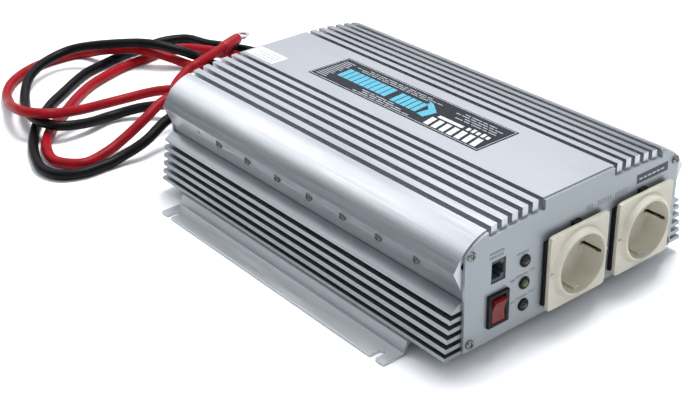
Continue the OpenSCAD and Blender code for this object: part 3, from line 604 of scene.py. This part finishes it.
def make_outlet(side):
    """The plate, collar and well as one turned mesh, with its holes, guides and ridges."""
    low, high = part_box("outlet_" + side)
    middle = Vector(((low.x + high.x) / 2, low.y, (low.z + high.z) / 2)) / MM
    made = add_object("outlet_" + side + "_finished", outlet_mesh("outlet_" + side, middle), IVORY)
    cut(made, outlet_cutters(middle))
    smooth(made.data, WELL_SHARP_ANGLE)
    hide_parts("outlet_" + side)
    for sign in (-1, 1):
        make_guide(side, sign, middle)
        make_plate_ridge(side, sign, middle)


for side in ("left", "right"):
    make_outlet(side)
    refine("outlet_frame_" + side, BLACK, 0.3, 2)
    # The earth clips take the near-black brass, painted shade of their slots.
    refine("earth_clips_" + side, SLOT_SHADED_BRASS, 0.1, 2)
    finish_node("contacts_" + side, BRASS)

# ------------------------------------------------------------------ controls

refine("switch_bezel", BLACK, 0.5, 3)
refine("switch_rocker", RED_KEY, 0.35, 3, body="rocker")
refine("remote_jack", JACK_GREY, 0.2, 2)
refine("indicator_holders", BLACK, 0.15, 2)
refine("indicator_upper", DARK_LENS, 0)
refine("indicator_middle", GREEN_LENS, 0)
refine("indicator_lower", DARK_LENS, 0)
finish_node("switch_terminals", BRASS)
finish_node("jack_contacts", BRASS)

# ------------------------------------------------------------------ labels

refine("top_label", LABEL_BLACK, 0.05, 1)
refine("rating_sticker", PAPER, 0.04, 1)
refine("front_label", LABEL_GREY, 0.05, 1)

INK = 0.04


def print_shapes(name, node, outlines, material, front=False):
    """Flat printed shapes on the top of a node, or on its front.

    Their outlines are in millimetres from the face's low corner, u along x and v along y or z.
    """
    low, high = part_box(node)
    points, faces = [], []
    for outline in outlines:
        start, count = len(points), len(outline)
        for lift in (0, INK):
            for u, v in outline:
                if front:
                    points.append((low.x + u * MM, low.y - (INK + lift) * MM, low.z + v * MM))
                else:
                    points.append((low.x + u * MM, low.y + v * MM, high.z + lift * MM))
        faces.append(tuple(range(start, start + count)))
        faces.append(tuple(range(start + count, start + 2 * count)))
        for k in range(count):
            a, b = start + k, start + (k + 1) % count
            faces.append((a, b, b + count, a + count))
    add_object(name, mesh_from(name, points, faces), material)


def strip(u0, v0, u1, v1, slant=0.0):
    """A rectangle, or a parallelogram whose far edge is shifted by slant."""
    return [(u0, v0), (u1, v0 + slant), (u1, v1 + slant), (u0, v1)]


def dashes(u0, u1, v0, v1, lengths, gap):
    """A row of dashes along v, with lengths in turn."""
    found, v, k = [], v0, 0
    while v + lengths[k % len(lengths)] <= v1:
        found.append(strip(u0, v, u1, v + lengths[k % len(lengths)]))
        v += lengths[k % len(lengths)] + gap
        k += 1
    return found


def blocks(u0, v0, v1, count, pitch=1.5, fill=0.6):
    """A row of small blocks along u, as fine print looks from a distance."""
    return [strip(u0 + pitch * k, v0, u0 + pitch * (k + fill), v1) for k in range(count)]


def border(node, inset, line):
    """Four lines just inside a label's edge."""
    low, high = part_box(node)
    width, length = (high.x - low.x) / MM, (high.y - low.y) / MM
    u0, v0, u1, v1 = inset, inset, width - inset, length - inset
    return [
        strip(u0, v0, u1, v0 + line), strip(u0, v1 - line, u1, v1),
        strip(u0, v0 + line, u0 + line, v1 - line), strip(u1 - line, v0 + line, u1, v1 - line),
    ]


def make_label_white():
    """Border, slanted bars and a column of short strokes."""
    white = border("top_label", 1.0, 0.35)
    white += [strip(2.8, 5 + 7.2 * k, 13.6, 9.7 + 7.2 * k, 2.4) for k in range(7)]
    white.append(strip(15.6, 30, 18.8, 53))
    white += [strip(15.8, 6 + 4.4 * k, 19.6 + k % 2, 8.8 + 4.4 * k, 0.8) for k in range(5)]
    print_shapes("label_print_white", "top_label", white, INK_WHITE)


def make_label_pale():
    """Rows of dashes that stand for small print, in three groups, and a comb of ticks."""
    pale = []
    for row, (v0, v1) in enumerate(((7, 46), (9, 40), (6, 54), (14, 48))):
        pale += dashes(23.6 + 2.7 * row, 24.5 + 2.7 * row, v0, v1, (7, 4, 9, 5), 1.4)
    for row, (v0, v1) in enumerate(((70, 150), (64, 158), (76, 142))):
        pale += dashes(28.2 + 2.2 * row, 29.0 + 2.2 * row, v0, v1, (5, 9, 7, 4), 1.3)
    for row, (v0, v1) in enumerate(((68, 130), (78, 124), (88, 126))):
        pale += dashes(2.8 + 2.4 * row, 3.8 + 2.4 * row, v0, v1, (6, 11, 4, 8), 1.3)
    pale += [strip(4.0 + 2.3 * k, 157 + k % 3, 4.9 + 2.3 * k, 168) for k in range(13)]
    print_shapes("label_print_pale", "top_label", pale, INK_PALE)


def make_label_cyan():
    """A bent arrow shape, and two rows of slanted blocks."""
    cyan = [[(9, 60), (20, 58), (29.5, 72), (25, 73), (20, 66), (9.8, 67)]]
    cyan += [strip(10.5, 69.6 + 5.4 * k, 24.5, 74 + 5.4 * k, 1.6) for k in range(5)]
    cyan += [strip(11.5, 102 + 5.8 * k, 25.5, 106.9 + 5.8 * k, 1.4) for k in range(9)]
    print_shapes("label_print_cyan", "top_label", cyan, INK_CYAN)


def make_sticker_print():
    """Four short rows of dashes."""
    lines = dashes(2.4, 3.0, 4, 29, (4, 7, 3), 1.2)
    lines += dashes(5.4, 6.0, 4, 23, (6, 3, 5), 1.2)
    lines += dashes(8.4, 9.0, 4, 29, (3, 5, 8), 1.2)
    lines += dashes(11.4, 12.0, 4, 17, (5, 4), 1.2)
    print_shapes("sticker_print", "rating_sticker", lines, INK_GREY)


def make_panel_print():
    """Blocks above the jack, around the indicators, and faint ones by the front label."""
    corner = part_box("front_panel")[0]
    marks = blocks(19.5, 58.7, 60.4, 8) + blocks(19.0, 55.9, 57.6, 8)
    for name in ("indicator_upper", "indicator_middle", "indicator_lower"):
        low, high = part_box(name)
        u = ((low.x + high.x) / 2 - corner.x) / MM
        v = ((low.z + high.z) / 2 - corner.z) / MM
        marks += blocks(u - 7.2, v + 5.6, v + 7.0, 7)
        if name != "indicator_upper":
            marks += blocks(u - 11.7, v + 4.6, v + 6.0, 3)
            marks += blocks(u + 4.8, v + 6.2, v + 7.4, 3)
    print_shapes("panel_print", "front_panel", marks, INK_GREY, front=True)
    faint = blocks(101.5, 58.0, 61.6, 3, 2.0, 0.3)
    faint += blocks(111.5, 58.0, 61.6, 6, 2.2, 0.3) + blocks(127.5, 58.0, 61.6, 5, 2.4, 0.3)
    print_shapes("panel_print_faint", "front_panel", faint, INK_GREY, front=True)
    line = [strip(2 + 4.2 * k, 2.4, 5 + 4.2 * k, 3.4) for k in range(6)]
    print_shapes("front_label_print", "front_label", line, INK_WHITE, front=True)


make_label_white()
make_label_pale()
make_label_cyan()
make_sticker_print()
make_panel_print()

# ------------------------------------------------------------------ back and inside

refine("fan_frame", BLACK, 0.3, 2)
refine("fan_rotor", BLACK, 0.25, 2, body="fan")
refine("fan_guard", WIRE, 0)
for name, material in {
    "main_board": BOARD,
    "board_standoffs": BRASS,
    "transformer_cores": FERRITE,
    "transformer_windings": WINDING,
    "capacitors": CAPACITOR,
    "power_transistors": BLACK,
    "clamp_bars": FOOT,
    "fuses": FUSE,
    "dc_busbars": COPPER,
}.items():
    finish_node(name, material)

# ------------------------------------------------------------------ stage


FLOOR_HALF = 6.0
FLOOR_DROP = 0.2 * MM


def make_floor():
    """A broad pale sheet for the object to stand on."""
    corners = [(-1, -1), (1, -1), (1, 1), (-1, 1)]
    points = [(x * FLOOR_HALF, y * FLOOR_HALF, 0) for x, y in corners]
    mesh = mesh_from("floor", points, [(0, 1, 2, 3)])
    paper = Shader("studio_floor", (0.92, 0.925, 0.93), 0.0, 0.6, specular=0.2)
    paper.tint(paper.noise(1.2, 2), (0.90, 0.905, 0.91))
    made = bpy.data.objects.new("floor", mesh)
    mesh.materials.append(paper.material)
    scene.collection.objects.link(made)
    made.location.z = -FLOOR_DROP


AIM = (0, 0, 0.05)
STRIP_SIZE = (1.5, 0.9)


def soft_light(name, place, power, tint=(1, 1, 1), aim=AIM, size=STRIP_SIZE):
    """A rectangular lamp that faces the point it is aimed at."""
    data = bpy.data.lights.new(name, "AREA")
    data.shape = "RECTANGLE"
    data.size, data.size_y = size
    data.energy = power
    data.color = tint
    made = bpy.data.objects.new(name, data)
    made.location = place
    direction = Vector(aim) - Vector(place)
    made.rotation_euler = direction.to_track_quat("-Z", "Y").to_euler()
    scene.collection.objects.link(made)


def make_world():
    """A dim room: pale overhead, darker towards the horizon."""
    world = bpy.data.worlds.new("studio")
    world.use_nodes = True
    tree = world.node_tree
    backdrop = tree.nodes["Background"]
    place = tree.nodes.new("ShaderNodeTexCoord")
    split = tree.nodes.new("ShaderNodeSeparateXYZ")
    ramp = tree.nodes.new("ShaderNodeValToRGB")
    horizon, ceiling = ramp.color_ramp.elements
    horizon.position, horizon.color = 0.12, (0.13, 0.14, 0.15, 1)
    ceiling.position, ceiling.color = 0.75, (0.62, 0.66, 0.72, 1)
    tree.links.new(place.outputs["Generated"], split.inputs[0])
    tree.links.new(split.outputs["Z"], ramp.inputs[0])
    tree.links.new(ramp.outputs["Color"], backdrop.inputs["Color"])
    backdrop.inputs["Strength"].default_value = 1.0
    scene.world = world


scene.view_settings.view_transform = "Standard"
make_floor()
make_world()
soft_light("overhead", (0.50, 0.22, 2.0), 48, aim=(0, 0, 0), size=(0.8, 0.8))
soft_light("front_strip_left", (-1.15, -1.45, 1.0), 2.5)
soft_light("front_strip_right", (0.70, -1.45, 1.35), 3.5)
soft_light("shoulder_strip", (-0.40, 1.45, 1.35), 8.2, (1, 1, 0.99))
soft_light("top_strip", (1.15, 1.45, 1.0), 3.9, (1, 0.985, 1.03))
